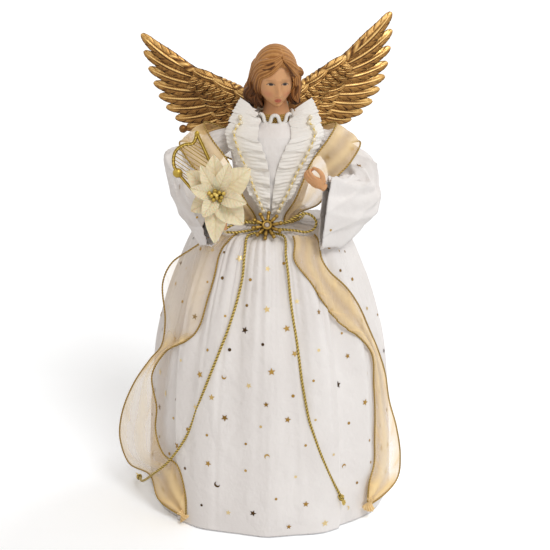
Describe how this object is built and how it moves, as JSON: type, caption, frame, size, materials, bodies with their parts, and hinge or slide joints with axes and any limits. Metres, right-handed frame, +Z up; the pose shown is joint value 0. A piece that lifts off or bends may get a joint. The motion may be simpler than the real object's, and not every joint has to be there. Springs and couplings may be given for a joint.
{
  "type": "angel tree topper",
  "caption": "Standing angel figure in a gathered gown on a hollow card cone, with cast feathered wings, ribbon stole, harp and fabric flower, to set on the top shoot of a tree.",
  "frame": {"origin": "centre of the base on the cone's axis, in the plane that the base ring rests on", "axes": "+Z up along the cone's axis, the figure faces -Y, its left hand is at +X"},
  "size_m": [0.2374, 0.205, 0.4028],
  "materials": {
    "card": "plain grey-brown card",
    "lining": "thin white lining cloth",
    "satin": "white woven cloth with small gold foil stars and dots",
    "foam": "white foam",
    "skin": "matte painted resin",
    "hair": "painted resin in light brown",
    "sheer": "crisp sheer white ruffle",
    "ribbon": "translucent gold-beige organza with wired edges",
    "cord": "twisted metallic gold thread",
    "cast_gold": "cast resin in antique gold paint with dark recesses",
    "pearl": "ivory pearl",
    "steel": "plain wire and screws",
    "ivory": "ivory petals dusted with glitter",
    "wood": "plain peg"
  },
  "bodies": {
    "figure": {"base_ring": "card", "tree_cone": "card", "petticoat": "lining", "gown_skirt": "satin", "torso_core": "foam", "bodice": "satin", "neck_dowel": "wood", "head": "skin", "hair": "hair", "arm_wire_left": "steel", "arm_wire_right": "steel", "sleeve_left": "satin", "sleeve_right": "satin", "collar_braid_gold": "cord", "collar_braid_white": "satin", "ruffle_left": "sheer", "ruffle_right": "sheer", "pearl_strand_left": "pearl", "pearl_strand_right": "pearl", "stole": "ribbon", "stole_tail_left": "ribbon", "stole_tail_right": "ribbon", "belt_cord": "cord", "bow_knot": "cord", "bow_loop_left": "cord", "bow_loop_right": "cord", "cord_tail_left": "cord", "cord_tail_right": "cord", "tail_knot_left": "cord", "tail_knot_right": "cord", "brooch": "cast_gold", "brooch_pearl": "pearl", "wing_plate": "card", "wing_left": "cast_gold", "wing_right": "cast_gold", "wing_screw_left": "steel", "wing_screw_right": "steel"},
    "hand_left": {"hand_left": "skin"},
    "hand_right": {"hand_right": "skin", "harp": "cast_gold", "poinsettia_stem": "ivory", "poinsettia_outer": "ivory", "poinsettia_inner": "ivory", "poinsettia_stamens": "cord"}
  },
  "joints": [
    {"name": "wrist_left", "type": "hinge", "parent": "figure", "child": "hand_left", "pos_m": [0.0445, -0.0555, 0.282], "axis": [0, 1, 0], "range_deg": [-12, 8]},
    {"name": "wrist_right", "type": "hinge", "parent": "figure", "child": "hand_right", "pos_m": [-0.048, -0.054, 0.252], "axis": [0, 1, 0], "range_deg": [-8, 8]}
  ]
}
